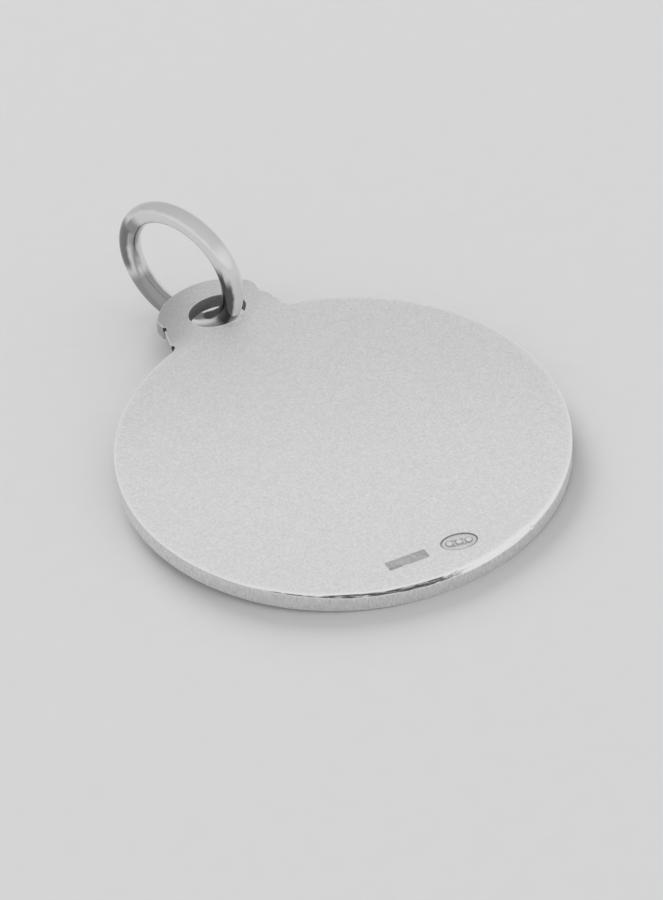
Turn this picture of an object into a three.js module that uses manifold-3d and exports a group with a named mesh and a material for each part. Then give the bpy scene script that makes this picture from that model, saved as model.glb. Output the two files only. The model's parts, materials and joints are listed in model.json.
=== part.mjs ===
// A silver religious medal with its jump ring, lying face down. Millimetres, +Z up.
// The medal is one stamped piece: a round disc, raised rim and cross on the front,
// plain back with two small stamped marks, and an ear with an oval hole.
// The ring stands in the ear's hole and lifts the ear a little off the table.

import * as THREE from "three";
import { mergeVertices } from "three/addons/utils/BufferGeometryUtils.js";
import Module from "manifold-3d";

const wasm = await Module();
wasm.setup();

// Disc: the front is the lower face, at z = 0 before the medal is tilted
const discDiameter = 20;
const discThickness = 0.865;
const discSides = 120;
const frontEdgeChamfer = 0.06;

// Bevel filed on the back's edge: widest opposite the ear, gone before the disc's sides
const bevelWidest = 0.3;
const bevelSlope = 38;
const bevelOffCentre = 0.5;

// Front: a flat rim and a plain cross stand on a sunk field
const rimWidth = 0.75;
const rimSlopeWidth = 0.12;
const fieldDepth = 0.165;
const crossHeight = 12.2;
const crossSpan = 8.4;
const crossBarWidth = 1.5;
const crossArmFromTop = 4.1;
const crossSlopeWidth = 0.12;

// Ear: flat with the back, as thin as the field, and a little off the disc's middle
const earAcross = 0.05;
const earEndWall = 1.17;
const earSideWall = 1.15;
const earEndRise = 1.3;
const earCornerRadius = 0.2;
const earFlare = 0.42;
const earRootInsideDisc = 0.9;
const earCurveSides = 16;

// Two notches in each side of the ear, placed by shares of its flare and its side
const notchRadius = 0.15;
const notchDepth = 0.22;
const notchSides = 16;
const lowerNotchShare = 0.37;
const upperNotchShare = 0.62;

// Hole in the ear: an oval, longest across the ear, and a little off the ear's middle
const holeHalfAcross = 1.38;
const holeAcross = 0.17;
const holeInsideDisc = 0.14;
const holeClearance = 0.15;
const holeSides = 48;

// Stamped marks on the back: a sunk oval and a sunk oblong, both bare
const markDepth = 0.06;
const markSides = 32;
const markInset = 1.7;
const ovalLength = 1.7;
const ovalWidth = 1.05;
const ovalAcross = 0.58;
const ovalTurn = -15;
const oblongLength = 1.87;
const oblongWidth = 0.52;
const oblongAcross = -1.88;
const oblongTurn = -6;

// Jump ring: round wire, standing nearly upright
const wireDiameter = 0.98;
const ringInnerDiameter = 4.92;
const wireSides = 14;
const ringSides = 64;
const ringTurn = 21;
const ringLean = 2.1;
const ringUnderEarClearance = 0.285;
const threadAcross = 0.28;
const threadInward = 0.145;

// Sizes that follow
const discRadius = discDiameter / 2;
const wireRadius = wireDiameter / 2;
const ringRadius = ringInnerDiameter / 2 + wireRadius;
const earThickness = discThickness - fieldDepth;
const earMiddleZ = fieldDepth + earThickness / 2;
const overcut = discThickness;

// The ring's place follows from where its wire passes the ear: under the ear's end
// by a clearance, and up through the hole at half the ear's thickness
const ringCentreZ = fieldDepth - ringUnderEarClearance - wireRadius + ringRadius;
const threadRise = ringCentreZ - earMiddleZ;
const threadReach = Math.sqrt(ringRadius ** 2 - threadRise ** 2);
const wireSlope = threadRise / threadReach;

// The hole lets the slanting wire through the ear's thickness
const wireHalfCut = wireRadius * Math.hypot(1, wireSlope);
const holeHalfAlong = wireHalfCut + (earThickness / 2) * wireSlope + holeClearance;
const holeCentreY = discRadius - holeInsideDisc + holeHalfAlong;
const earEndY = holeCentreY + holeHalfAlong + earEndWall;
const earHalfWidth = holeHalfAcross + earSideWall;
const earCornerY = earEndY - earEndRise;
const upperNotchY = THREE.MathUtils.lerp(discRadius, earCornerY, upperNotchShare);

const silver = { color: 0xc9c9c9, metalness: 1 };
const satinSilver = new THREE.MeshStandardMaterial({ ...silver, roughness: 0.45 });
const polishedSilver = new THREE.MeshStandardMaterial({ ...silver, roughness: 0.18 });

function solidFrom(geometry) {
  const bare = geometry.clone();
  bare.deleteAttribute("normal");
  bare.deleteAttribute("uv");
  const merged = mergeVertices(bare, 1e-4);
  return new wasm.Manifold(
    new wasm.Mesh({
      numProp: 3,
      vertProperties: merged.attributes.position.array,
      triVerts: new Uint32Array(merged.index.array),
    }),
  );
}

function geometryFrom(solid) {
  const mesh = solid.getMesh();
  const geometry = new THREE.BufferGeometry();
  geometry.setAttribute("position", new THREE.BufferAttribute(mesh.vertProperties, 3));
  geometry.setIndex(new THREE.BufferAttribute(mesh.triVerts, 1));
  geometry.computeVertexNormals();
  return geometry;
}

function slab(shape, bottom, top, curveSegments) {
  const depth = top - bottom;
  const geometry = new THREE.ExtrudeGeometry(shape, { depth, bevelEnabled: false, curveSegments });
  geometry.translate(0, 0, bottom);
  return geometry;
}

// Turned about the medal's own axis, with the middle of a facet opposite the ear, so that
// the disc lies on the table with a facet's edge and not with one corner
function turned(points) {
  const geometry = new THREE.LatheGeometry(
    points.map(([r, z]) => new THREE.Vector2(r, z)),
    discSides,
  );
  return geometry.rotateX(Math.PI / 2).rotateZ(Math.PI / discSides);
}

function disc() {
  const fieldRadius = discRadius - rimWidth - rimSlopeWidth;
  return solidFrom(
    turned([
      [0, fieldDepth],
      [fieldRadius, fieldDepth],
      [discRadius - rimWidth, 0],
      [discRadius - frontEdgeChamfer, 0],
      [discRadius, frontEdgeChamfer],
      [discRadius, discThickness],
      [0, discThickness],
    ]),
  );
}

// A cone set off-centre towards the ear cuts the edge on the far side only
function bevelCone() {
  const topRadius = discRadius + bevelOffCentre - bevelWidest;
  const spread = (discThickness + overcut) / Math.tan(THREE.MathUtils.degToRad(bevelSlope));
  const cone = turned([
    [0, -overcut],
    [topRadius + spread, -overcut],
    [topRadius, discThickness],
    [0, discThickness],
  ]);
  return solidFrom(cone.translate(0, bevelOffCentre, 0));
}

function cross() {
  const bar = crossBarWidth / 2;
  const top = crossHeight / 2;
  const arm = top - crossArmFromTop;
  const shape = new THREE.Shape([
    new THREE.Vector2(-bar, -top),
    new THREE.Vector2(bar, -top),
    new THREE.Vector2(bar, arm - bar),
    new THREE.Vector2(crossSpan / 2, arm - bar),
    new THREE.Vector2(crossSpan / 2, arm + bar),
    new THREE.Vector2(bar, arm + bar),
    new THREE.Vector2(bar, top),
    new THREE.Vector2(-bar, top),
    new THREE.Vector2(-bar, arm + bar),
    new THREE.Vector2(-crossSpan / 2, arm + bar),
    new THREE.Vector2(-crossSpan / 2, arm - bar),
    new THREE.Vector2(-bar, arm - bar),
  ]);
  const geometry = new THREE.ExtrudeGeometry(shape, {
    depth: crossSlopeWidth,
    bevelThickness: fieldDepth,
    bevelSize: crossSlopeWidth,
    bevelSegments: 1,
  });
  return solidFrom(geometry.translate(0, 0, fieldDepth));
}

// One side of the ear, from inside the disc up to its upper notch
function earFlareCurve() {
  const rootHalfWidth = earHalfWidth + earFlare;
  return new THREE.QuadraticBezierCurve(
    new THREE.Vector2(rootHalfWidth, discRadius - earRootInsideDisc),
    new THREE.Vector2(rootHalfWidth, discRadius),
    new THREE.Vector2(earHalfWidth, upperNotchY),
  );
}

// The ear's end is one long arc between two rounded corners
function earOutline() {
  const endRadius = (earHalfWidth ** 2 + earEndRise ** 2) / (2 * earEndRise);
  const endCentreY = earEndY - endRadius;
  const cornerY = earCornerY - earCornerRadius;
  const start = Math.acos(earHalfWidth / endRadius) + earCornerRadius / endRadius;
  const arcEnd = new THREE.Vector2(Math.cos(start), Math.sin(start)).multiplyScalar(endRadius);
  const { v0: root, v1: bend, v2: top } = earFlareCurve();
  const shape = new THREE.Shape();
  shape.moveTo(-root.x, root.y);
  shape.lineTo(root.x, root.y);
  shape.quadraticCurveTo(bend.x, bend.y, top.x, top.y);
  shape.lineTo(earHalfWidth, cornerY);
  shape.quadraticCurveTo(earHalfWidth, earCornerY, arcEnd.x, endCentreY + arcEnd.y);
  shape.absarc(0, endCentreY, endRadius, start, Math.PI - start, false);
  shape.quadraticCurveTo(-earHalfWidth, earCornerY, -earHalfWidth, cornerY);
  shape.lineTo(-top.x, top.y);
  shape.quadraticCurveTo(-bend.x, bend.y, -root.x, root.y);
  return shape;
}

function notchCutters() {
  const flare = earFlareCurve();
  const places = [flare.getPoint(lowerNotchShare), flare.getPoint(1)];
  return [-1, 1].flatMap((side) =>
    places.map((place) => {
      const height = discThickness + overcut;
      const cutter = new THREE.CylinderGeometry(notchRadius, notchRadius, height, notchSides);
      cutter.rotateX(Math.PI / 2);
      return solidFrom(
        cutter.translate(side * (place.x + notchRadius - notchDepth), place.y, earMiddleZ),
      );
    }),
  );
}

function oval(halfAcross, halfAlong) {
  const shape = new THREE.Shape();
  shape.absellipse(0, 0, halfAcross, halfAlong, 0, 2 * Math.PI, false, 0);
  return shape;
}

function holeCutter() {
  const shape = oval(holeHalfAcross, holeHalfAlong);
  const cutter = slab(shape, -overcut, discThickness + overcut, holeSides);
  return solidFrom(cutter.translate(holeAcross, holeCentreY, 0));
}

function markCutter(shape, across, turn) {
  const radius = discRadius - markInset;
  const floor = discThickness - markDepth;
  const cutter = slab(shape, floor, discThickness + overcut, markSides);
  cutter.rotateZ(THREE.MathUtils.degToRad(turn));
  cutter.translate(across, -Math.sqrt(radius ** 2 - across ** 2), 0);
  return solidFrom(cutter);
}

function ovalMark() {
  return markCutter(oval(ovalLength / 2, ovalWidth / 2), ovalAcross, ovalTurn);
}

function oblongMark() {
  const [x, y] = [oblongLength / 2, oblongWidth / 2];
  const corners = [[-x, -y], [x, -y], [x, y], [-x, y]];
  const shape = new THREE.Shape(corners.map(([a, b]) => new THREE.Vector2(a, b)));
  return markCutter(shape, oblongAcross, oblongTurn);
}

function makeMedal() {
  const ear = notchCutters().reduce(
    (solid, cutter) => solid.subtract(cutter),
    solidFrom(slab(earOutline(), fieldDepth, discThickness, earCurveSides)),
  ).translate([earAcross, 0, 0]);
  const solid = disc()
    .intersect(bevelCone())
    .add(ear)
    .add(cross())
    .subtract(holeCutter())
    .subtract(ovalMark())
    .subtract(oblongMark());
  const medal = new THREE.Mesh(geometryFrom(solid), satinSilver);
  medal.name = "medal";
  return medal;
}

function makeJumpRing() {
  const turn = THREE.MathUtils.degToRad(ringTurn);
  const lean = THREE.MathUtils.degToRad(ringLean);
  const outward = new THREE.Vector3(-Math.sin(turn), Math.cos(turn), 0);
  const upward = new THREE.Vector3(
    -Math.sin(lean) * Math.cos(turn),
    -Math.sin(lean) * Math.sin(turn),
    Math.cos(lean),
  );
  const ring = new THREE.Mesh(
    new THREE.TorusGeometry(ringRadius, wireRadius, wireSides, ringSides),
    polishedSilver,
  );
  ring.name = "jump_ring";
  ring.rotation.y = Math.PI / 2 - lean;
  const holder = new THREE.Group();
  holder.rotation.z = turn;
  holder.position.set(holeAcross + threadAcross, holeCentreY - threadInward, earMiddleZ);
  holder.position.addScaledVector(outward, threadReach);
  holder.position.addScaledVector(upward, threadRise);
  holder.add(ring);
  return holder;
}

// Lying face down, the medal touches the table with its rim and with the ring
const medal = makeMedal();
const ringHolder = makeJumpRing();
const ringDrop = ringRadius + wireRadius - ringHolder.position.z;
const restingSpan = ringHolder.position.y + discRadius - frontEdgeChamfer;

const lying = new THREE.Group();
lying.add(medal, ringHolder);
lying.rotation.x = Math.asin(ringDrop / restingSpan);

// The origin is under the middle of the whole, on the table
const root = new THREE.Group();
root.add(lying);
root.updateMatrixWorld(true);
const box = new THREE.Box3().setFromObject(root, true);
const middle = box.getCenter(new THREE.Vector3());
lying.position.set(-middle.x, -middle.y, -box.min.z);
root.updateMatrixWorld(true);

export default root;
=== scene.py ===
import json
import math

import bmesh
import bpy
from mathutils import Matrix, Vector


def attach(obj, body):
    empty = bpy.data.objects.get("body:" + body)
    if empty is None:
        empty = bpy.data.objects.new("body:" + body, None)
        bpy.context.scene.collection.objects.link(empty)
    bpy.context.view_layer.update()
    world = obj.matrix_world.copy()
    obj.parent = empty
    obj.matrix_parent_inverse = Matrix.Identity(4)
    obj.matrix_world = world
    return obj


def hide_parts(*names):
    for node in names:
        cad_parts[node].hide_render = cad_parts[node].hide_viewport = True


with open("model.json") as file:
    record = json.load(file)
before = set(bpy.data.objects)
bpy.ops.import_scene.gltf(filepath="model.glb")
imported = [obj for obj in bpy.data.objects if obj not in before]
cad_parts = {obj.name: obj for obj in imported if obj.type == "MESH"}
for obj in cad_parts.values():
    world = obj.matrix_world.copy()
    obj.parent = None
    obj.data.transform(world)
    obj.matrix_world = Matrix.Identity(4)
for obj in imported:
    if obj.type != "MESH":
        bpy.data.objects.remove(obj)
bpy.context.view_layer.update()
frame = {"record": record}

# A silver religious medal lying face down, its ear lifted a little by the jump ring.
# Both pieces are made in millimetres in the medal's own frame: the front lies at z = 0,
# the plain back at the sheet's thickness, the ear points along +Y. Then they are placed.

MM = 0.001

# Disc
DISC_RADIUS = 10
THICKNESS = 0.865
DISC_SIDES = 288
FRONT_EDGE_ROUNDING = 0.06

# The back's edge is broken all round and filed away more opposite the ear: degrees round
# from there, and how far in the file went
FILED_WIDTHS = (
    (-180, 0.035),
    (-62, 0.035),
    (-46, 0.09),
    (-30, 0.17),
    (-4, 0.22),
    (13, 0.24),
    (30, 0.13),
    (48, 0.05),
    (62, 0.035),
    (180, 0.035),
)
FILED_SLOPE = math.radians(38)
EDGE_SOFTNESS = 0.034

# A file held by hand wavers: share of the width, waves round the edge, phase
FILE_WAVES = ((0.05, 23, 1), (0.03, 57, 0))

# Loops laid on the back for the file to move, and where the innermost one ends up
BACK_LOOPS = 6
BACK_LOOP_STEP = 0.08
BACK_LOOP_REACH = 0.6
SMALL_ROUNDING = 0.03
SHARP_ANGLE = math.radians(55)

# Front: a raised rim and a plain cross on a sunk field
RIM_WIDTH = 0.75
RIM_SLOPE = 0.12
FIELD_DEPTH = 0.165
CROSS_HEIGHT = 12.2
CROSS_SPAN = 8.4
CROSS_BAR = 1.5
CROSS_ARM_FROM_TOP = 4.1
CROSS_SLOPE = 0.12
CROSS_ROOT = 0.1

# Ear
EAR_ACROSS = 0.05
EAR_HALF_WIDTH = 2.53
EAR_FLARE = 0.42
EAR_ROOT_Y = 9.1
EAR_FLARE_TOP_Y = 11.134
EAR_FLARE_STEPS = 12
EAR_CORNER_Y = 11.8285
EAR_END_Y = 13.1285
EAR_CORNER_RADIUS = 0.2
NOTCH_RADIUS = 0.15
NOTCH_DEPTH = 0.10
NOTCH_PLACES = (0.37, 1.0)
HOLE_HALF_ACROSS = 1.36
HOLE_HALF_ALONG = 1.03
HOLE_ACROSS = 0.17
HOLE_Y = 10.909

# Stamped marks
MARK_DEPTH = 0.065
OVAL_SIZE = (1.7, 1.07)
OVAL_PLACE = (0.58, -8.34, math.radians(-15))
OBLONG_SIZE = (1.87, 0.52)
OBLONG_PLACE = (-1.88, -8.085, math.radians(-6))

# Pips and bars stand half in the marks' floor: foot and top radius, and full height
PIP_RADII = (0.21, 0.13)
PIP_HEIGHT = 0.1
PIP_SPACING = 0.43
BAR_RADII = (0.15, 0.115)
BAR_HEIGHT = 0.124
BAR_SPACING = 0.33
BAR_ALONG = -0.03
BAR_STRETCH = (0.85, 1.4, 1)

# A small knock on the filed edge
NICK_SIZE = 0.17
NICK_PLACE = (3.70, -9.285, THICKNESS - 0.14)
NICK_TURN = (math.radians(20), math.radians(35), math.radians(20))

# Jump ring
WIRE_RADIUS = 0.49
RING_RADIUS = 2.95
RING_CENTRE = (-0.443, 12.9041, 2.3388)
RING_TURN = math.radians(21)
RING_LEAN = math.radians(2.1)
RING_WEAR = 1.015

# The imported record's mount lies on the front rim and gives the medal's place and tilt
RIM_MOUNT_LOCAL = Vector((0, -9.625 * MM, 0))
rim_mount = frame["record"]["mounts"][0]
medal_tilt = math.asin(rim_mount["axis"][1])
medal_turn = Matrix.Rotation(medal_tilt, 4, "X")
medal_shift = Vector(rim_mount["pos_m"]) - medal_turn @ RIM_MOUNT_LOCAL
medal_place = Matrix.Translation(medal_shift) @ medal_turn
ring_turn = Matrix.Rotation(RING_TURN, 4, "Z") @ Matrix.Rotation(math.pi / 2 - RING_LEAN, 4, "Y")
ring_in_medal = Matrix.Translation(RING_CENTRE) @ ring_turn

for thing in bpy.context.selected_objects:
    thing.select_set(False)


# Modelling by hand


def start(operator, name, **settings):
    """Adds a primitive with its place already in its mesh."""
    operator(**settings)
    piece = bpy.context.object
    piece.name = piece.data.name = name
    bpy.ops.object.transform_apply(location=True, rotation=True, scale=True)
    return piece


def pick(piece, kind, test):
    """Turns edit mode on, with only what passes the test selected."""
    bpy.context.view_layer.objects.active = piece
    bpy.ops.object.mode_set(mode="EDIT")
    bpy.ops.mesh.select_mode(type=kind)
    bpy.ops.mesh.select_all(action="DESELECT")
    mesh = bmesh.from_edit_mesh(piece.data)
    mesh.normal_update()
    for item in {"VERT": mesh.verts, "EDGE": mesh.edges, "FACE": mesh.faces}[kind]:
        if test(item):
            item.select_set(True)
    bmesh.update_edit_mesh(piece.data)


def done(piece):
    bpy.ops.object.mode_set(mode="OBJECT")
    piece.select_set(False)
    return piece


def combine(piece, tool, operation):
    """Joins a tool to the piece or cuts it out of it, and uses the tool up."""
    boolean = piece.modifiers.new("combine", "BOOLEAN")
    boolean.operation = operation
    boolean.solver = "EXACT"
    boolean.object = tool
    bpy.context.view_layer.objects.active = piece
    bpy.ops.object.modifier_apply(modifier=boolean.name)
    bpy.data.objects.remove(tool)


def extrude_level(height, half_size, grow, before):
    """Pulls the picked outline up to a height, and widens it from its last growth."""
    bpy.ops.mesh.extrude_region()
    bpy.ops.transform.translate(value=(0, 0, height))
    factors = [(half + grow) / (half + before) for half in half_size]
    bpy.ops.transform.resize(value=(*factors, 1), center_override=(0, 0, 0))


def punch(blank, half_size, levels):
    """Makes a punch from a flat blank of half size 1: levels are heights and growths."""
    height, growth = levels[0]
    pick(blank, "FACE", lambda face: True)
    bpy.ops.transform.resize(
        value=(half_size[0] + growth, half_size[1] + growth, 1), center_override=(0, 0, 0)
    )
    bpy.ops.transform.translate(value=(0, 0, height))
    for next_height, next_growth in levels[1:]:
        extrude_level(next_height - height, half_size, next_growth, growth)
        height, growth = next_height, next_growth
    bpy.ops.mesh.select_all(action="SELECT")
    bpy.ops.mesh.normals_make_consistent(inside=False)
    return done(blank)


def set_down(piece, across, along, turn=0):
    piece.matrix_world = Matrix.Translation((across, along, 0)) @ Matrix.Rotation(turn, 4, "Z")
    finish_place(piece)


def finish_place(piece):
    bpy.ops.object.select_all(action="DESELECT")
    piece.select_set(True)
    bpy.context.view_layer.objects.active = piece
    bpy.ops.object.transform_apply(location=True, rotation=True, scale=True)
    piece.select_set(False)


def circle_blank(name, sides):
    operator = bpy.ops.mesh.primitive_circle_add
    return start(operator, name, vertices=sides, radius=1, fill_type="NGON")


# Medal


def filed_width(angle):
    """How far the back's edge is filed in, by the angle from the side opposite the ear."""
    degrees = math.degrees(angle)
    for (start_at, wide_before), (end_at, wide_after) in zip(FILED_WIDTHS, FILED_WIDTHS[1:]):
        if start_at <= degrees <= end_at:
            share = (degrees - start_at) / (end_at - start_at)
            share = share * share * (3 - 2 * share)
            width = wide_before + (wide_after - wide_before) * share
    waver = sum(share * math.sin(waves * angle + phase) for share, waves, phase in FILE_WAVES)
    return width * (1 + waver)


def file_back_edge(disc, loops):
    """Moves the edge loops of the back onto the filed slope and its softened borders."""
    for vertex in disc.data.vertices:
        radius = math.hypot(vertex.co.x, vertex.co.y)
        if vertex.co.z < THICKNESS - 0.001 or radius < loops[-1] - 0.001:
            continue
        step = min(range(len(loops)), key=lambda k: abs(loops[k] - radius))
        angle = math.atan2(vertex.co.x, -vertex.co.y)
        width = filed_width(angle)
        drop = width * math.tan(FILED_SLOPE)
        soft = min(EDGE_SOFTNESS, 0.4 * width)
        # In and down: the wall's top, its rounded border, the slope, the back's border
        inset, fall = (
            (0, drop + soft),
            (0.25 * soft, drop - 0.1 * soft),
            (soft, drop - soft * math.tan(FILED_SLOPE)),
            (width - soft, soft * math.tan(FILED_SLOPE)),
            (width, 0.2 * soft),
            (width + soft, 0),
            (BACK_LOOP_REACH, 0),
        )[step]
        scale = (DISC_RADIUS - inset) / radius
        vertex.co.x *= scale
        vertex.co.y *= scale
        vertex.co.z = THICKNESS - fall


def make_disc():
    operator = bpy.ops.mesh.primitive_cylinder_add
    disc = start(
        operator,
        "medal_plate",
        vertices=DISC_SIDES,
        radius=DISC_RADIUS,
        depth=THICKNESS,
        location=(0, 0, THICKNESS / 2),
    )
    pick(disc, "EDGE", lambda edge: all(vert.co.z < 0.01 for vert in edge.verts))
    bpy.ops.mesh.bevel(offset=FRONT_EDGE_ROUNDING, segments=3, affect="EDGES")
    pick(disc, "FACE", lambda face: face.normal.z < -0.99)
    bpy.ops.mesh.inset(thickness=RIM_WIDTH - FRONT_EDGE_ROUNDING)
    bpy.ops.mesh.inset(thickness=RIM_SLOPE, depth=-FIELD_DEPTH)

    # The insets leave loops on the back, one more than there are, which the file moves
    pick(disc, "FACE", lambda face: face.normal.z > 0.99)
    loops = [DISC_RADIUS]
    for _ in range(BACK_LOOPS):
        bpy.ops.mesh.inset(thickness=BACK_LOOP_STEP)
        loops.append(loops[-1] - BACK_LOOP_STEP)
    done(disc)
    file_back_edge(disc, loops)

    def on_rim_border(edge):
        radii = [math.hypot(vert.co.x, vert.co.y) for vert in edge.verts]
        heights = [vert.co.z for vert in edge.verts]
        level = abs(heights[0] - heights[1]) < 0.001 and heights[0] < FIELD_DEPTH + 0.01
        border = DISC_RADIUS - RIM_WIDTH
        near, far = border - RIM_SLOPE - 0.01, border + 0.01
        return level and all(near < radius < far for radius in radii)

    pick(disc, "EDGE", on_rim_border)
    bpy.ops.mesh.bevel(offset=SMALL_ROUNDING, segments=2, affect="EDGES")
    return done(disc)


def make_cross():
    """The crossing square is pulled out into four arms, then its border is dropped.

    As it stands this makes no cross. The last two arms take the sides of the first two
    with them, and the border's test takes every corner, so a plain block is left inside
    the sheet, which doesn't show.
    """
    outer = CROSS_BAR / 2 + CROSS_SLOPE
    top = CROSS_HEIGHT / 2 + CROSS_SLOPE
    arm_y = CROSS_HEIGHT / 2 - CROSS_ARM_FROM_TOP
    side = CROSS_SPAN / 2 + CROSS_SLOPE
    root = FIELD_DEPTH + CROSS_ROOT
    cross = start(
        bpy.ops.mesh.primitive_cube_add,
        "cross",
        size=1,
        location=(0, arm_y, root / 2),
        scale=(2 * outer, 2 * outer, root),
    )
    arms = (
        (Vector((1, 0, 0)), side - outer),
        (Vector((-1, 0, 0)), side - outer),
        (Vector((0, 1, 0)), top - arm_y - outer),
        (Vector((0, -1, 0)), top + arm_y - outer),
    )
    for direction, length in arms:
        pick(cross, "FACE", lambda face: face.normal.dot(direction) > 0.99)
        bpy.ops.mesh.extrude_region()
        bpy.ops.transform.translate(value=direction * length)
    pick(cross, "FACE", lambda face: face.normal.z < -0.99)
    bpy.ops.mesh.inset(thickness=CROSS_SLOPE)

    def on_border(vert):
        x, y = abs(vert.co.x), abs(vert.co.y - arm_y)
        inner = outer - CROSS_SLOPE / 2
        in_upright = x < inner and abs(vert.co.y) < top - CROSS_SLOPE / 2
        in_arms = y < inner and x < side - CROSS_SLOPE / 2
        return vert.co.z < 0.001 and not (in_upright or in_arms)

    pick(cross, "VERT", on_border)
    bpy.ops.transform.translate(value=(0, 0, FIELD_DEPTH))
    return done(cross)


def flare_point(share):
    """The ear's side, from its root inside the disc up to its upper notch."""
    wide = EAR_HALF_WIDTH + EAR_FLARE
    near, far = (1 - share) ** 2 + 2 * share * (1 - share), share**2
    across = near * wide + far * EAR_HALF_WIDTH
    along = (
        (1 - share) ** 2 * EAR_ROOT_Y
        + 2 * share * (1 - share) * DISC_RADIUS
        + share**2 * EAR_FLARE_TOP_Y
    )
    return across, along


def make_ear():
    """A round end is cut off straight, drawn down into the flare, and given its thickness."""
    rise = EAR_END_Y - EAR_CORNER_Y
    end_radius = (EAR_HALF_WIDTH**2 + rise**2) / (2 * rise)
    ear = start(
        bpy.ops.mesh.primitive_circle_add,
        "ear",
        vertices=128,
        radius=end_radius,
        fill_type="NGON",
        location=(0, EAR_END_Y - end_radius, FIELD_DEPTH),
    )
    pick(ear, "FACE", lambda face: True)
    bpy.ops.mesh.bisect(plane_co=(0, EAR_CORNER_Y, 0), plane_no=(0, 1, 0), clear_inner=True)
    pick(ear, "EDGE", lambda edge: all(v.co.y < EAR_CORNER_Y + 0.001 for v in edge.verts))
    before = (EAR_HALF_WIDTH, EAR_CORNER_Y)
    for step in range(EAR_FLARE_STEPS, -1, -1):
        across, along = flare_point(step / EAR_FLARE_STEPS)
        bpy.ops.mesh.extrude_region()
        bpy.ops.transform.translate(value=(0, along - before[1], 0))
        bpy.ops.transform.resize(value=(across / before[0], 1, 1), center_override=(0, along, 0))
        before = (across, along)
    bpy.ops.mesh.select_all(action="SELECT")
    bpy.ops.mesh.extrude_region()
    bpy.ops.transform.translate(value=(0, 0, THICKNESS - FIELD_DEPTH))
    bpy.ops.mesh.select_all(action="SELECT")
    bpy.ops.mesh.normals_make_consistent(inside=False)

    def on_corner(edge):
        first, second = (vert.co for vert in edge.verts)
        upright = abs(first.z - second.z) > 0.1
        at_side = abs(abs(first.x) - EAR_HALF_WIDTH) < 0.02
        return upright and at_side and abs(first.y - EAR_CORNER_Y) < 0.01

    pick(ear, "EDGE", on_corner)
    bpy.ops.mesh.bevel(offset=EAR_CORNER_RADIUS, segments=6, affect="EDGES")
    done(ear)
    for side in (-1, 1):
        for place in NOTCH_PLACES:
            across, along = flare_point(place)
            notch = start(
                bpy.ops.mesh.primitive_cylinder_add,
                "notch",
                vertices=32,
                radius=NOTCH_RADIUS,
                depth=3,
                location=(side * (across + NOTCH_RADIUS - NOTCH_DEPTH), along, 0),
            )
            combine(ear, notch, "DIFFERENCE")
    set_down(ear, EAR_ACROSS, 0)

    # The flat faces become one again, then the outline's edges are softened
    pick(ear, "FACE", lambda face: True)
    bpy.ops.mesh.remove_doubles(threshold=0.008)
    bpy.ops.mesh.dissolve_limited(angle_limit=math.radians(0.5))

    def on_outline(edge):
        if len(edge.link_faces) != 2:
            return False
        upright = [abs(face.normal.z) for face in edge.link_faces]
        return max(upright) > 0.9 and min(upright) < 0.1

    pick(ear, "EDGE", on_outline)
    bpy.ops.mesh.bevel(offset=SMALL_ROUNDING, segments=2, affect="EDGES")
    return done(ear)


def make_hole_punch():
    """The hole's cutter widens at both faces of the ear, which leaves soft edges."""
    levels = (
        (-1.0, 0.05),
        (FIELD_DEPTH, 0.05),
        (FIELD_DEPTH + 0.015, 0.022),
        (FIELD_DEPTH + 0.05, 0.0),
        (THICKNESS - 0.055, 0.0),
        (THICKNESS - 0.030, 0.008),
        (THICKNESS - 0.012, 0.026),
        (THICKNESS, 0.055),
        (THICKNESS + 0.03, 0.13),
    )
    hole = punch(circle_blank("hole", 96), (HOLE_HALF_ACROSS, HOLE_HALF_ALONG), levels)
    set_down(hole, HOLE_ACROSS, HOLE_Y)
    return hole


def mark_levels(wall):
    """The punch's face is smaller than its opening by the width of its sloping wall."""
    floor = THICKNESS - MARK_DEPTH
    return (
        (floor, -wall),
        (floor + 0.012, 0.02 - wall),
        (THICKNESS - 0.012, -0.008),
        (THICKNESS, 0.012),
        (THICKNESS + 0.05, 0.08),
    )


def make_oval_punch():
    half = [size / 2 for size in OVAL_SIZE]
    oval = punch(circle_blank("oval", 72), half, mark_levels(0.09))
    set_down(oval, *OVAL_PLACE)
    return oval


def make_oblong_punch():
    blank = start(bpy.ops.mesh.primitive_plane_add, "oblong", size=2)
    oblong = punch(blank, [size / 2 for size in OBLONG_SIZE], mark_levels(0.045))
    set_down(oblong, *OBLONG_PLACE)
    return oblong


def make_pips():
    """Round pips stand in the oval and short bars in the oblong."""
    floor = THICKNESS - MARK_DEPTH
    pips = []
    for column in (-1, 0, 1):
        pip = start(
            bpy.ops.mesh.primitive_cone_add,
            "pip",
            vertices=24,
            radius1=PIP_RADII[0],
            radius2=PIP_RADII[1],
            depth=PIP_HEIGHT,
            location=(PIP_SPACING * column, 0, floor),
        )
        set_down(pip, *OVAL_PLACE)
        pips.append(pip)
    for column in range(-2, 3):
        middle = (BAR_SPACING * column, BAR_ALONG, floor)
        bar = start(
            bpy.ops.mesh.primitive_cone_add,
            "bar",
            vertices=4,
            radius1=BAR_RADII[0],
            radius2=BAR_RADII[1],
            depth=BAR_HEIGHT,
            location=middle,
            rotation=(0, 0, math.pi / 4),
        )
        pick(bar, "VERT", lambda vert: True)
        bpy.ops.transform.resize(value=BAR_STRETCH, center_override=middle)
        done(bar)
        set_down(bar, *OBLONG_PLACE)
        pips.append(bar)
    return pips


def make_nick():
    operator = bpy.ops.mesh.primitive_cube_add
    return start(operator, "nick", size=NICK_SIZE, location=NICK_PLACE, rotation=NICK_TURN)


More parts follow.
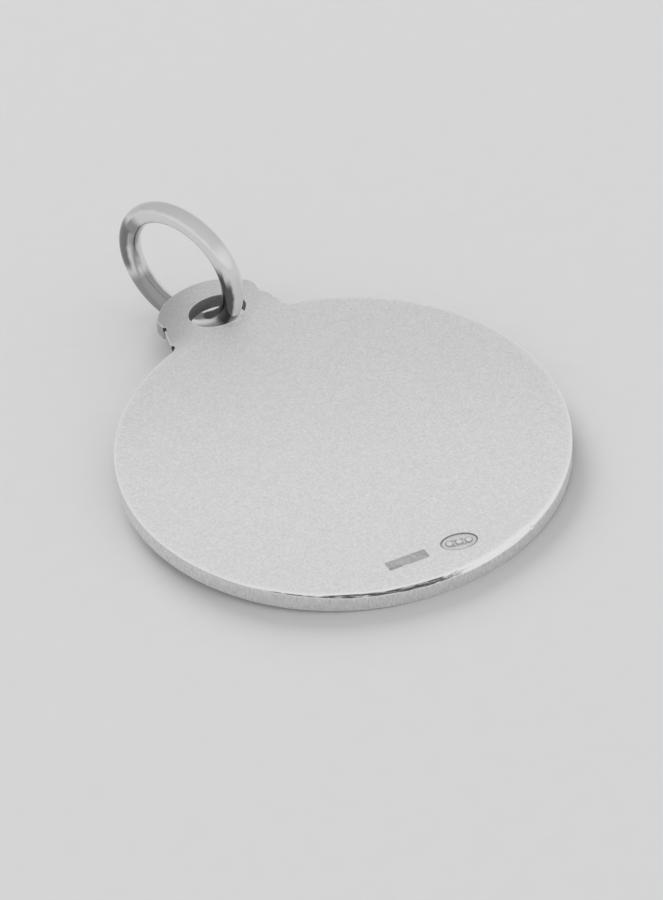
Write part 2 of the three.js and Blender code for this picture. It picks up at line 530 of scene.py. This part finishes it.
def make_medal():
    medal = make_disc()
    combine(medal, make_cross(), "UNION")
    combine(medal, make_ear(), "UNION")
    combine(medal, make_hole_punch(), "DIFFERENCE")
    combine(medal, make_oval_punch(), "DIFFERENCE")
    # This hollow comes out closed by faces in the back's plane, so its bars don't show
    combine(medal, make_oblong_punch(), "DIFFERENCE")
    for pip in make_pips():
        combine(medal, pip, "UNION")
    combine(medal, make_nick(), "DIFFERENCE")
    pick(medal, "FACE", lambda face: True)
    bpy.ops.mesh.remove_doubles(threshold=0.002)
    return done(medal)


# Jump ring


def make_ring():
    """Round wire bent to a ring, worn a little flat where its inside rubs in the hole."""
    ring = start(
        bpy.ops.mesh.primitive_torus_add,
        "jump_ring_wire",
        major_segments=224,
        minor_segments=44,
        major_radius=RING_RADIUS,
        minor_radius=WIRE_RADIUS,
    )
    # The ring's own -Y side passes through the hole
    inside = RING_RADIUS - 0.8 * WIRE_RADIUS

    def in_wear(vert):
        return vert.co.xy.length < inside and vert.co.y < -0.6 * RING_RADIUS

    pick(ring, "VERT", in_wear)
    bpy.ops.transform.resize(value=(1, RING_WEAR, 1), center_override=(0, 0, 0))
    done(ring)
    ring.matrix_world = ring_in_medal
    finish_place(ring)
    return ring


def smooth_and_place(piece):
    """Goes from millimetres in the medal's frame to metres where the CAD part lies."""
    bpy.ops.object.select_all(action="DESELECT")
    piece.select_set(True)
    bpy.context.view_layer.objects.active = piece
    piece.matrix_world = medal_place @ Matrix.Scale(MM, 4)
    bpy.ops.object.transform_apply(location=True, rotation=True, scale=True)
    bpy.ops.object.shade_smooth_by_angle(angle=SHARP_ANGLE)
    weighted = piece.modifiers.new("weighted", "WEIGHTED_NORMAL")
    weighted.keep_sharp = True
    weighted.weight = 80
    bpy.ops.object.modifier_apply(modifier=weighted.name)
    piece.select_set(False)


# Materials

# The white colour is partly a painted highlight on the filed edge; the dark sheet colour paints
# shade as well as marks, and the dark wire colour paints dark reflections
SATIN_COLOURS = ("#eeeeee", "#fefefe")
FILED_AND_HIGHLIGHT_COLOUR = "#ffffff"
SHEET_SHADE_AND_MARK_COLOUR = "#585858"
WIRE_COLOUR = "#e9e9e9"
WIRE_DARK_REFLECTION_COLOUR = "#3c3c3c"
CARD_COLOURS = ("#d3d3d3", "#d6d6d6")

# Widths of the zones at the disc's edge that hold the file's work and no marks
FILED_ZONE = 0.36
UNMARKED_ZONE = 0.62

def linear(colour):
    """An sRGB hex colour as the linear values that Blender mixes."""
    values = [int(colour[k : k + 2], 16) / 255 for k in (1, 3, 5)]
    return [v / 12.92 if v <= 0.04045 else ((v + 0.055) / 1.055) ** 2.4 for v in values] + [1]


def add(tree, kind, sockets=None, **settings):
    """Adds a node with its settings; a socket takes a value, an output or a whole node."""
    node = tree.nodes.new(kind)
    for name, value in settings.items():
        setattr(node, name, value)
    for name, value in (sockets or {}).items():
        if isinstance(value, bpy.types.Node):
            value = next(output for output in value.outputs if output.enabled)
        if isinstance(value, bpy.types.NodeSocket):
            tree.links.new(value, node.inputs[name])
        else:
            node.inputs[name].default_value = value
    return node


def new_material(name):
    material = bpy.data.materials.new(name)
    material.use_nodes = True
    material.node_tree.nodes.clear()
    return material, material.node_tree


def own_millimetres(tree, place):
    """Object coordinates turned into millimetres in the frame that a piece was made in."""
    source = add(tree, "ShaderNodeTexCoord")
    back = place.inverted()
    return add(
        tree,
        "ShaderNodeMapping",
        {
            "Vector": source.outputs["Object"],
            "Scale": (1 / MM, 1 / MM, 1 / MM),
            "Rotation": back.to_euler(),
            "Location": back.to_translation() / MM,
        },
    )


def round_the_disc(tree, where):
    """Distance from the disc's middle, degrees round from opposite the ear, and height."""
    part = add(tree, "ShaderNodeSeparateXYZ", {"Vector": where})
    level = add(tree, "ShaderNodeVectorMath", {0: where, 1: (1, 1, 0)}, operation="MULTIPLY")
    radius = add(tree, "ShaderNodeVectorMath", {0: level}, operation="LENGTH")
    down = add(tree, "ShaderNodeMath", {0: part.outputs["Y"], 1: -1}, operation="MULTIPLY")
    angle = add(tree, "ShaderNodeMath", {0: part.outputs["X"], 1: down}, operation="ARCTAN2")
    degrees = add(tree, "ShaderNodeMath", {0: angle}, operation="DEGREES")
    return radius, degrees, part


def rubbed_grain(tree, where):
    """The satin itself: a fine cloudy grain, with a few long hairlines across it."""
    # The real grit leaves marks of a few hundredths of a millimetre. They are 0.09 mm wide
    # here, the finest that shows.
    grain = add(
        tree,
        "ShaderNodeTexNoise",
        {"Vector": where, "Scale": 11.0, "Detail": 4.0, "Roughness": 0.7},
    )
    hairlines = None
    for turn, length, gap in ((0.5, 0.25, 9.0), (-0.9, 0.4, 7.0)):
        along = add(
            tree,
            "ShaderNodeMapping",
            {"Vector": where, "Rotation": (0, 0, turn), "Scale": (length, gap, 1)},
        )
        line = add(
            tree, "ShaderNodeTexNoise", {"Vector": along, "Scale": 1.0, "Detail": 1.0}
        )
        fine = add(
            tree,
            "ShaderNodeMapRange",
            {"Value": line, "From Min": 0.66, "From Max": 0.74, "To Min": 0, "To Max": 1},
        )
        if hairlines:
            fine = add(tree, "ShaderNodeMath", {0: hairlines, 1: fine}, operation="MAXIMUM")
        hairlines = fine
    return grain, hairlines


def painted_shade_tone(tree, where, part):
    """Painted shade: the back grows darker towards the ear, darker still on the ear, most on its
    -X side.
    """
    far = add(
        tree, "ShaderNodeVectorMath", {0: where, 1: (0.5, 0.866, 0)}, operation="DOT_PRODUCT"
    )
    plate = add(
        tree,
        "ShaderNodeMapRange",
        {"Value": far, "From Min": -4.0, "From Max": 9.0, "To Min": 1.0, "To Max": 0.93},
        interpolation_type="SMOOTHSTEP",
    )
    ear = add(
        tree,
        "ShaderNodeMapRange",
        {
            "Value": part.outputs["Y"],
            "From Min": 9.3,
            "From Max": 12.5,
            "To Min": 1.0,
            "To Max": 0.92,
        },
        interpolation_type="SMOOTHSTEP",
    )
    on_ear = add(
        tree, "ShaderNodeMapRange", {"Value": part.outputs["Y"], "From Min": 9.2, "From Max": 10.4}
    )
    aside = add(
        tree, "ShaderNodeVectorMath", {0: where, 1: (-0.866, 0.5, 0)}, operation="DOT_PRODUCT"
    )
    side_shade = add(
        tree,
        "ShaderNodeMapRange",
        {"Value": aside, "From Min": 5.6, "From Max": 8.0, "To Min": 0.0, "To Max": -0.22},
        interpolation_type="SMOOTHSTEP",
    )
    corner = add(
        tree, "ShaderNodeMath", {0: side_shade, 1: on_ear, 2: 1.0}, operation="MULTIPLY_ADD"
    )
    ear = add(tree, "ShaderNodeMath", {0: ear, 1: corner}, operation="MULTIPLY")
    return add(tree, "ShaderNodeMath", {0: plate, 1: ear}, operation="MULTIPLY")


def hole_shade(tree, where):
    """Painted shade inside the hole, on its far side; the near side is left bright."""
    off = add(
        tree, "ShaderNodeVectorMath", {0: where, 1: (HOLE_ACROSS, HOLE_Y, 0)}, operation="SUBTRACT"
    )
    shrunk = add(
        tree,
        "ShaderNodeVectorMath",
        {0: off, 1: (1 / HOLE_HALF_ACROSS, 1 / HOLE_HALF_ALONG, 0)},
        operation="MULTIPLY",
    )
    reach = add(tree, "ShaderNodeVectorMath", {0: shrunk}, operation="LENGTH")
    dark = add(
        tree,
        "ShaderNodeMapRange",
        {"Value": reach, "From Min": 1.0, "From Max": 1.05, "To Min": 0.7, "To Max": 0.0},
        interpolation_type="SMOOTHSTEP",
    )
    far = add(
        tree, "ShaderNodeVectorMath", {0: shrunk, 1: (0.3, 0.95, 0)}, operation="DOT_PRODUCT"
    )
    far_side = add(
        tree, "ShaderNodeMapRange", {"Value": far, "From Min": -0.35, "From Max": 0.0}
    )
    return add(tree, "ShaderNodeMath", {0: dark, 1: far_side}, operation="MULTIPLY")


def notch_shade(tree, where, height, facing):
    """Painted shade at the upper ends of the two notches on the -X side of the ear."""
    level = add(tree, "ShaderNodeVectorMath", {0: where, 1: (1, 1, 0)}, operation="MULTIPLY")
    darkest = None
    for share in NOTCH_PLACES:
        across, along = flare_point(share)
        middle = (EAR_ACROSS - across - NOTCH_RADIUS + NOTCH_DEPTH, along, 0)
        reach = add(tree, "ShaderNodeVectorMath", {0: level, 1: middle}, operation="DISTANCE")
        dark = add(
            tree,
            "ShaderNodeMapRange",
            {
                "Value": reach,
                "From Min": NOTCH_RADIUS,
                "From Max": NOTCH_RADIUS + 0.06,
                "To Min": 1,
                "To Max": 0,
            },
            interpolation_type="SMOOTHSTEP",
        )
        if darkest:
            dark = add(tree, "ShaderNodeMath", {0: darkest, 1: dark}, operation="MAXIMUM")
        darkest = dark
    upper = add(
        tree,
        "ShaderNodeMapRange",
        {
            "Value": height,
            "From Min": THICKNESS - 0.34,
            "From Max": THICKNESS - 0.2,
            "To Min": 0,
            "To Max": 1,
        },
    )
    steep = add(
        tree,
        "ShaderNodeMapRange",
        {"Value": facing, "From Min": 0.5, "From Max": 0.9, "To Min": 1, "To Max": 0},
    )
    held = add(tree, "ShaderNodeMath", {0: upper, 1: steep}, operation="MULTIPLY")
    return add(tree, "ShaderNodeMath", {0: darkest, 1: held}, operation="MULTIPLY")


def mark_shade(tree, where, radius, height, facing):
    """Painted shade: dark lines on the stamped shapes' steep walls, and dark patches on the
    oblong's floor.
    """
    inside = add(
        tree, "ShaderNodeMath", {0: radius, 1: DISC_RADIUS - UNMARKED_ZONE}, operation="LESS_THAN"
    )
    sunk = add(
        tree,
        "ShaderNodeMapRange",
        {
            "Value": height,
            "From Min": THICKNESS - 0.03,
            "From Max": THICKNESS - 0.014,
            "To Min": 1.0,
            "To Max": 0.0,
        },
    )
    back = add(tree, "ShaderNodeMath", {0: height, 1: THICKNESS - 0.1}, operation="GREATER_THAN")
    steep = add(
        tree,
        "ShaderNodeMapRange",
        {"Value": facing, "From Min": 0.8, "From Max": 0.98, "To Min": 1.0, "To Max": 0.05},
    )
    part = add(tree, "ShaderNodeSeparateXYZ", {"Vector": where})
    oblong = add(
        tree,
        "ShaderNodeMapRange",
        {
            "Value": part.outputs["X"],
            "From Min": -0.8,
            "From Max": -0.7,
            "To Min": 1.0,
            "To Max": 0.0,
        },
    )
    patches = add(
        tree, "ShaderNodeTexNoise", {"Vector": where, "Scale": 4.5, "Detail": 1.0}
    )
    patchy = add(
        tree,
        "ShaderNodeMapRange",
        {"Value": patches, "From Min": 0.4, "From Max": 0.6, "To Min": 0.35, "To Max": 0.85},
    )
    floor = add(tree, "ShaderNodeMath", {0: oblong, 1: patchy}, operation="MULTIPLY")
    dark = add(tree, "ShaderNodeMath", {0: steep, 1: floor}, operation="MAXIMUM")
    for mask in (sunk, inside, back):
        dark = add(tree, "ShaderNodeMath", {0: dark, 1: mask}, operation="MULTIPLY")
    return dark


def file_marks(tree, degrees, height, slope):
    """Dark file marks low on the slope, ending raggedly where the slope is left bright, as filed
    metal and painted highlight.
    """
    # Real file teeth leave lines 0.03 mm apart; these are 0.1 mm apart, so that they show
    along = add(tree, "ShaderNodeMath", {0: degrees, 1: 0.22}, operation="MULTIPLY")
    across = add(tree, "ShaderNodeMath", {0: height, 1: 15.0}, operation="MULTIPLY")
    lie = add(tree, "ShaderNodeCombineXYZ", {"X": along, "Y": across})
    streak = add(
        tree, "ShaderNodeTexNoise", {"Vector": lie, "Scale": 1.0, "Detail": 4.0, "Roughness": 0.65}
    )
    ragged = add(tree, "ShaderNodeMath", {0: streak, 1: 40.0}, operation="MULTIPLY")
    end = add(tree, "ShaderNodeMath", {0: degrees, 1: ragged}, operation="ADD")
    dark = add(
        tree,
        "ShaderNodeMapRange",
        {"Value": streak, "From Min": 0.38, "From Max": 0.52, "To Min": 0.15, "To Max": 0.95},
    )
    for value, clear, full in (
        (end, 18.0, 14.0),
        (degrees, -58.0, -48.0),
        (height, THICKNESS - 0.026, THICKNESS - 0.042),
    ):
        mask = add(
            tree, "ShaderNodeMapRange", {"Value": value, "From Min": clear, "From Max": full}
        )
        dark = add(tree, "ShaderNodeMath", {0: dark, 1: mask}, operation="MULTIPLY")
    return add(tree, "ShaderNodeMath", {0: dark, 1: slope}, operation="MULTIPLY")


def satin_silver_sheet():
    """Sterling silver, stamped and rubbed with grit: a fine dull grain with faint hairlines,
    painted shade in its hollows, at the wall's foot and towards the ear, a painted highlight
    on the filed edge, and the marks of the file left on its one sloping edge."""
    material, tree = new_material("sterling_silver_stamped_satin_rubbed")
    where = own_millimetres(tree, medal_place)
    radius, degrees, part = round_the_disc(tree, where)
    grain, hairlines = rubbed_grain(tree, where)

    # How far a face looks up: 1 on the back, 0.79 on the filed slope, 0 on the wall
    shape = add(tree, "ShaderNodeNewGeometry")
    upward = medal_place.to_3x3() @ Vector((0, 0, 1))
    facing = add(
        tree,
        "ShaderNodeVectorMath",
        {0: shape.outputs["Normal"], 1: upward},
        operation="DOT_PRODUCT",
    )
    slope_low = add(
        tree,
        "ShaderNodeMapRange",
        {"Value": facing, "From Min": 0.5, "From Max": 0.62, "To Min": 0, "To Max": 1},
    )
    slope_high = add(
        tree,
        "ShaderNodeMapRange",
        {"Value": facing, "From Min": 0.86, "From Max": 0.93, "To Min": 1, "To Max": 0},
    )
    outer = add(
        tree, "ShaderNodeMath", {0: radius, 1: DISC_RADIUS - FILED_ZONE}, operation="GREATER_THAN"
    )
    slope = add(tree, "ShaderNodeMath", {0: slope_low, 1: slope_high}, operation="MULTIPLY")
    slope = add(tree, "ShaderNodeMath", {0: slope, 1: outer}, operation="MULTIPLY")
    border_low = add(
        tree,
        "ShaderNodeMapRange",
        {"Value": facing, "From Min": 0.86, "From Max": 0.93, "To Min": 0, "To Max": 1},
    )
    border_high = add(
        tree,
        "ShaderNodeMapRange",
        {"Value": facing, "From Min": 0.990, "From Max": 0.998, "To Min": 1, "To Max": 0},
    )
    border = add(tree, "ShaderNodeMath", {0: border_low, 1: border_high}, operation="MULTIPLY")
    border = add(tree, "ShaderNodeMath", {0: border, 1: outer}, operation="MULTIPLY")
    level = add(tree, "ShaderNodeMath", {0: facing}, operation="ABSOLUTE")
    wall = add(
        tree,
        "ShaderNodeMapRange",
        {"Value": level, "From Min": 0.1, "From Max": 0.3, "To Min": 1, "To Max": 0},
    )
    wall = add(tree, "ShaderNodeMath", {0: wall, 1: outer}, operation="MULTIPLY")

    # Short upright ticks left on the wall by the blanking die, 0.08 mm apart
    tick_along = add(tree, "ShaderNodeMath", {0: degrees, 1: 2.2}, operation="MULTIPLY")
    tick_up = add(tree, "ShaderNodeMath", {0: part.outputs["Z"], 1: 2.5}, operation="MULTIPLY")
    tick_lie = add(tree, "ShaderNodeCombineXYZ", {"X": tick_along, "Y": tick_up})
    tick = add(
        tree,
        "ShaderNodeTexNoise",
        {"Vector": tick_lie, "Scale": 1.0, "Detail": 3.0, "Roughness": 0.6},
    )
    ticks = add(
        tree,
        "ShaderNodeMapRange",
        {"Value": tick, "From Min": 0.4, "From Max": 0.68, "To Min": 0.11, "To Max": 0.25},
    )
    ticks = add(tree, "ShaderNodeMath", {0: ticks, 1: wall}, operation="MULTIPLY")
    # Painted shade: the wall darker at its foot, where it meets the floor
    foot = add(
        tree,
        "ShaderNodeMapRange",
        {
            "Value": part.outputs["Z"],
            "From Min": 0.05,
            "From Max": 0.11,
            "To Min": 0.3,
            "To Max": 0,
        },
    )
    foot = add(tree, "ShaderNodeMath", {0: foot, 1: wall}, operation="MULTIPLY")

    # The darkening joins the die's ticks and the file's marks with painted shade in the hole, in
    # the notches, on the stamped marks and at the wall's foot
    darkening = ticks
    for dark in (
        hole_shade(tree, where),
        notch_shade(tree, where, part.outputs["Z"], facing),
        mark_shade(tree, where, radius, part.outputs["Z"], facing),
        file_marks(tree, degrees, part.outputs["Z"], slope),
        foot,
    ):
        darkening = add(tree, "ShaderNodeMath", {0: darkening, 1: dark}, operation="MAXIMUM")

    cloudy = add(tree, "ShaderNodeMapRange", {"Value": grain, "From Min": 0.34, "From Max": 0.66})
    rubbed = add(
        tree,
        "ShaderNodeMix",
        {"Factor": cloudy, "A": linear(SATIN_COLOURS[0]), "B": linear(SATIN_COLOURS[1])},
        data_type="RGBA",
    )
    # This tone is painted shade, darker towards the ear, with the hairlines' faint scratches in it
    worn = painted_shade_tone(tree, where, part)
    scratch = add(
        tree,
        "ShaderNodeMapRange",
        {"Value": hairlines, "From Min": 0, "From Max": 1, "To Min": 1.0, "To Max": 0.98},
    )
    worn = add(tree, "ShaderNodeMath", {0: worn, 1: scratch}, operation="MULTIPLY")
    sheet_tone = add(
        tree,
        "ShaderNodeMix",
        {"Factor": 1.0, "A": rubbed, "B": worn},
        data_type="RGBA",
        blend_type="MULTIPLY",
    )
    # The filed slope and its border are painted white: partly the filed metal's brightness, partly
    # a painted highlight along the edge
    filed = add(tree, "ShaderNodeMath", {0: slope, 1: border}, operation="MAXIMUM")
    sheet_tone = add(
        tree,
        "ShaderNodeMix",
        {"Factor": filed, "A": sheet_tone, "B": linear(FILED_AND_HIGHLIGHT_COLOUR)},
        data_type="RGBA",
    )
    colour = add(
        tree,
        "ShaderNodeMix",
        {"Factor": darkening, "A": sheet_tone, "B": linear(SHEET_SHADE_AND_MARK_COLOUR)},
        data_type="RGBA",
    )
    roughness = add(
        tree,
        "ShaderNodeMapRange",
        {"Value": darkening, "From Min": 0, "From Max": 1, "To Min": 0.78, "To Max": 0.62},
    )
    relief = add(
        tree, "ShaderNodeMath", {0: hairlines, 1: -0.3, 2: grain}, operation="MULTIPLY_ADD"
    )
    bump = add(
        tree,
        "ShaderNodeBump",
        {"Height": relief, "Strength": 0.3, "Distance": 0.006 * MM},
    )
    shader = add(
        tree,
        "ShaderNodeBsdfPrincipled",
        {"Base Color": colour, "Metallic": 1.0, "Roughness": roughness, "Normal": bump},
    )
    add(tree, "ShaderNodeOutputMaterial", {"Surface": shader})
    return material


# Where dark reflections are painted on the ring: degrees round the ring from its lowest point
# (from, to), degrees round the wire from its -X side, with the ring's outside at 90 (from, to),
# how dark
RING_DARK_REFLECTIONS = (
    ((-103, -52), (-28, 44), 0.88),
    ((-115, -88), (-50, 16), 0.88),
    ((-129, -103), (-74, -30), 0.8),
    ((70, 124), (-24, 100), 0.76),
    ((112, 136), (-48, 20), 0.6),
    ((98, 134), (-90, -24), 0.42),
    ((4, 62), (-110, 70), 0.6),
    ((128, 190), (42, 120), 0.2),
    ((-190, -132), (42, 120), 0.2),
)
# How many degrees each patch takes to fade, round the ring and round the wire
RING_FADE = 14
WIRE_FADE = 18


def polished_silver_wire():
    """Sterling silver wire, drawn and polished: bright, with a faint haze of wear and dark
    reflections painted onto it, most of them where it lies against the ear."""
    material, tree = new_material("sterling_silver_wire_drawn_polished")
    to_metres, to_millimetres = Matrix.Scale(MM, 4), Matrix.Scale(1 / MM, 4)
    where = own_millimetres(tree, medal_place @ to_metres @ ring_in_medal @ to_millimetres)
    part = add(tree, "ShaderNodeSeparateXYZ", {"Vector": where})
    level = add(tree, "ShaderNodeVectorMath", {0: where, 1: (1, 1, 0)}, operation="MULTIPLY")
    reach = add(tree, "ShaderNodeVectorMath", {0: level}, operation="LENGTH")
    outward = add(tree, "ShaderNodeMath", {0: reach, 1: RING_RADIUS}, operation="SUBTRACT")
    sideways = add(tree, "ShaderNodeMath", {0: part.outputs["Z"], 1: -1}, operation="MULTIPLY")
    round_ring = add(
        tree, "ShaderNodeMath", {0: part.outputs["Y"], 1: part.outputs["X"]}, operation="ARCTAN2"
    )
    round_wire = add(tree, "ShaderNodeMath", {0: outward, 1: sideways}, operation="ARCTAN2")
    round_ring = add(tree, "ShaderNodeMath", {0: round_ring}, operation="DEGREES")
    round_wire = add(tree, "ShaderNodeMath", {0: round_wire}, operation="DEGREES")
    haze = add(
        tree,
        "ShaderNodeTexNoise",
        {"Vector": where, "Scale": 2.5, "Detail": 4.0, "Roughness": 0.6},
    )
    waver = add(
        tree,
        "ShaderNodeMapRange",
        {"Value": haze, "From Min": 0.3, "From Max": 0.7, "To Min": -4, "To Max": 4},
    )
    round_wire = add(tree, "ShaderNodeMath", {0: round_wire, 1: waver}, operation="ADD")
    # Painted reflection: each patch darkens the wire where it mirrors dark surroundings
    darkening = None
    for ring_span, wire_span, depth in RING_DARK_REFLECTIONS:
        patch = None
        for value, span, fade in (
            (round_ring, ring_span, RING_FADE),
            (round_wire, wire_span, WIRE_FADE),
        ):
            middle, half = (span[0] + span[1]) / 2, (span[1] - span[0]) / 2
            off = add(tree, "ShaderNodeMath", {0: value, 1: middle}, operation="SUBTRACT")
            off = add(tree, "ShaderNodeMath", {0: off}, operation="ABSOLUTE")
            edge = add(
                tree,
                "ShaderNodeMapRange",
                {
                    "Value": off,
                    "From Min": half - fade / 2,
                    "From Max": half + fade / 2,
                    "To Min": 1.0,
                    "To Max": 0.0,
                },
                interpolation_type="SMOOTHSTEP",
            )
            if patch:
                edge = add(tree, "ShaderNodeMath", {0: patch, 1: edge}, operation="MULTIPLY")
            patch = edge
        patch = add(tree, "ShaderNodeMath", {0: patch, 1: depth}, operation="MULTIPLY")
        if darkening:
            patch = add(tree, "ShaderNodeMath", {0: darkening, 1: patch}, operation="MAXIMUM")
        darkening = patch
    roughness = add(
        tree,
        "ShaderNodeMapRange",
        {"Value": haze, "From Min": 0.3, "From Max": 0.7, "To Min": 0.14, "To Max": 0.22},
    )
    colour = add(
        tree,
        "ShaderNodeMix",
        {"Factor": darkening, "A": linear(WIRE_COLOUR), "B": linear(WIRE_DARK_REFLECTION_COLOUR)},
        data_type="RGBA",
    )
    shader = add(
        tree,
        "ShaderNodeBsdfPrincipled",
        {"Base Color": colour, "Metallic": 1.0, "Roughness": roughness},
    )
    add(tree, "ShaderNodeOutputMaterial", {"Surface": shader})
    return material


def pale_card():
    """Matt white card, pressed smooth: an even pale ground."""
    material, tree = new_material("white_card_matt_pressed")
    place = add(tree, "ShaderNodeTexCoord")
    fibre = add(
        tree,
        "ShaderNodeTexNoise",
        {"Vector": place.outputs["Object"], "Scale": 900.0, "Detail": 2.0},
    )
    tone = add(
        tree,
        "ShaderNodeMix",
        {"Factor": fibre, "A": linear(CARD_COLOURS[0]), "B": linear(CARD_COLOURS[1])},
        data_type="RGBA",
    )
    shader = add(
        tree,
        "ShaderNodeBsdfPrincipled",
        {"Base Color": tone, "Roughness": 0.9, "Specular IOR Level": 0.1},
    )
    add(tree, "ShaderNodeOutputMaterial", {"Surface": shader})
    return material


# Camera: the photograph's own, found from the disc's outline and the ear's place
CAMERA_ELEVATION = math.radians(40.83)
CAMERA_ROLL = math.radians(-3.28)
CAMERA_TURN = math.radians(-30)
CAMERA_DISTANCE = 200
CAMERA_TARGET = (-0.515, 0.439, 0)
CAMERA_FOCAL_PIXELS = 4565.2
PHOTO_HEIGHT = 900


def make_camera():
    right = Vector((1, 0, 0))
    up = Vector((0, math.sin(CAMERA_ELEVATION), math.cos(CAMERA_ELEVATION)))
    ahead = Vector((0, math.cos(CAMERA_ELEVATION), -math.sin(CAMERA_ELEVATION)))
    rolled_right = math.cos(CAMERA_ROLL) * right + math.sin(CAMERA_ROLL) * up
    rolled_up = math.cos(CAMERA_ROLL) * up - math.sin(CAMERA_ROLL) * right
    place = Matrix((rolled_right, rolled_up, -ahead)).transposed().to_4x4()
    place.translation = (Vector(CAMERA_TARGET) - ahead * CAMERA_DISTANCE) * MM
    data = bpy.data.cameras.new("camera")
    data.sensor_width = 36
    data.lens = CAMERA_FOCAL_PIXELS * data.sensor_width / PHOTO_HEIGHT
    data.clip_start = 0.01
    data.clip_end = 20
    camera = bpy.data.objects.new("camera", data)
    camera.matrix_world = medal_place @ Matrix.Rotation(CAMERA_TURN, 4, "Z") @ place
    bpy.context.scene.collection.objects.link(camera)
    bpy.context.scene.camera = camera


# Light

ROOM_MIDDLE = 0.735
ROOM_TOWARDS_CAMERA = 0.07
ROOM_RIGHT = 0.02
SOFT_BOX_DISTANCE = 2.0
SOFT_BOX_SIZE = 1.2
SOFT_BOX_POWER = 26
SOFT_BOX_ELEVATION = math.radians(27)
SOFT_BOX_TURN = math.radians(24)


def make_floor():
    floor = start(bpy.ops.mesh.primitive_plane_add, "floor", size=6)
    floor.data.materials.append(pale_card())
    floor.select_set(False)


def make_room():
    """An even white room, a little brighter on the camera's side and on its right."""
    world = bpy.data.worlds.new("soft_room")
    bpy.context.scene.world = world
    world.use_nodes = True
    tree = world.node_tree
    tree.nodes.clear()
    place = add(tree, "ShaderNodeTexCoord")
    turn = Matrix.Rotation(CAMERA_TURN, 3, "Z")
    lean = turn @ Vector((ROOM_RIGHT, -ROOM_TOWARDS_CAMERA, 0))
    share = add(
        tree,
        "ShaderNodeVectorMath",
        {0: place.outputs["Generated"], 1: lean},
        operation="DOT_PRODUCT",
    )
    tone = add(tree, "ShaderNodeMath", {0: share, 1: ROOM_MIDDLE}, operation="ADD")
    background = add(tree, "ShaderNodeBackground", {"Color": tone, "Strength": 1.0})
    add(tree, "ShaderNodeOutputWorld", {"Surface": background})


def make_soft_box():
    """A large soft box behind the medal lays the faint shadow towards the camera."""
    data = bpy.data.lights.new("soft_box", "AREA")
    data.shape = "DISK"
    data.size = SOFT_BOX_SIZE
    data.energy = SOFT_BOX_POWER
    soft_box = bpy.data.objects.new("soft_box", data)
    soft_box.visible_glossy = False
    turn = Matrix.Rotation(CAMERA_TURN + SOFT_BOX_TURN, 4, "Z")
    tip = Matrix.Rotation(math.pi / 2 - SOFT_BOX_ELEVATION, 4, "X")
    lift = Matrix.Translation((0, 0, SOFT_BOX_DISTANCE))
    soft_box.matrix_world = turn @ tip.inverted() @ lift
    bpy.context.scene.collection.objects.link(soft_box)


make_camera()
make_room()
make_soft_box()
make_floor()

medal = make_medal()
smooth_and_place(medal)
medal.data.materials.append(satin_silver_sheet())
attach(medal, "root")
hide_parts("medal")

ring = make_ring()
smooth_and_place(ring)
ring.data.materials.append(polished_silver_wire())
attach(ring, "root")
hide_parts("jump_ring")

scene = bpy.context.scene
scene.view_settings.view_transform = "Standard"
scene.view_settings.look = "None"
